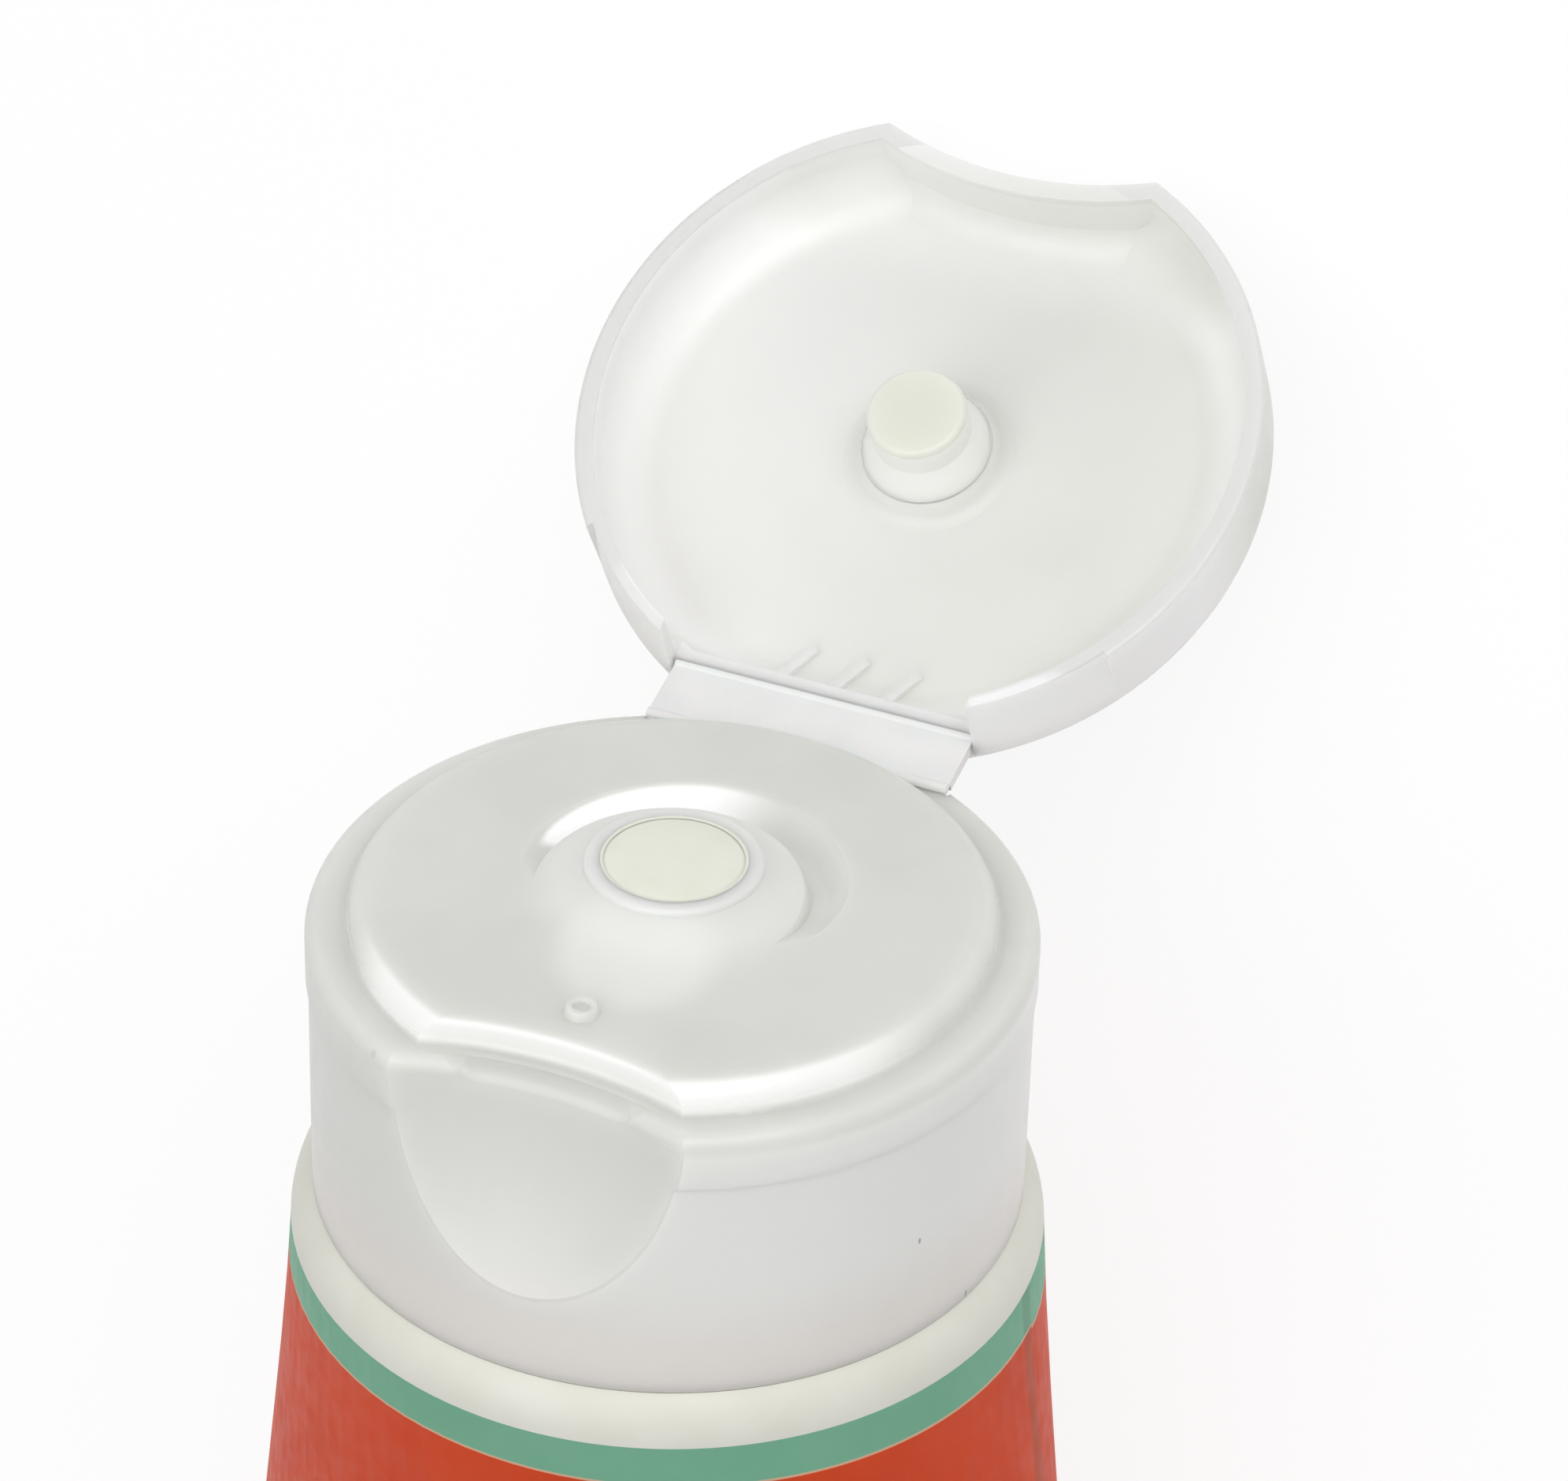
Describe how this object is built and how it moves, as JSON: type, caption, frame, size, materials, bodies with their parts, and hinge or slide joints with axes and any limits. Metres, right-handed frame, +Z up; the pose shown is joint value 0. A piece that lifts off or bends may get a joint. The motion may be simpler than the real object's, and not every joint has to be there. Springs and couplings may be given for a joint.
{
  "type": "sunscreen tube",
  "caption": "Soft squeeze tube of sunscreen with a flip-top cap, lid swung open on its strap hinge, cream standing in the spout, lying on its back.",
  "frame": {"origin": "centre of the footprint, on the surface that the tube lies on", "axes": "+Z up, +X across the flat crimp and along the hinge lines, +Y from the cap towards the crimp"},
  "size_m": [0.055, 0.1414, 0.0513],
  "materials": {
    "sleeve": "satin printed laminate",
    "head": "matt off-white",
    "cream": "moist cream",
    "cap": "frosted translucent white"
  },
  "bodies": {
    "tube": {"tube_sleeve": "sleeve", "tube_head": "head", "cream": "cream", "cap_base": "cap"},
    "strap": {"hinge_strap": "cap"},
    "lid": {"cap_lid": "cap"}
  },
  "joints": [
    {"name": "strap_hinge", "type": "hinge", "parent": "tube", "child": "strap", "pos_m": [0, -0.04477, 0.02351], "axis": [1, 0, 0], "range_deg": [-76.8, 13]},
    {"name": "lid_hinge", "type": "hinge", "parent": "strap", "child": "lid", "pos_m": [0, -0.04652, 0.02065], "axis": [1, 0, 0], "range_deg": [-73, 12.5], "deforming": ["cream"]}
  ],
  "couplings": [
    {"joint": "lid_hinge", "follows": "strap_hinge", "ratio": 0.9492}
  ]
}
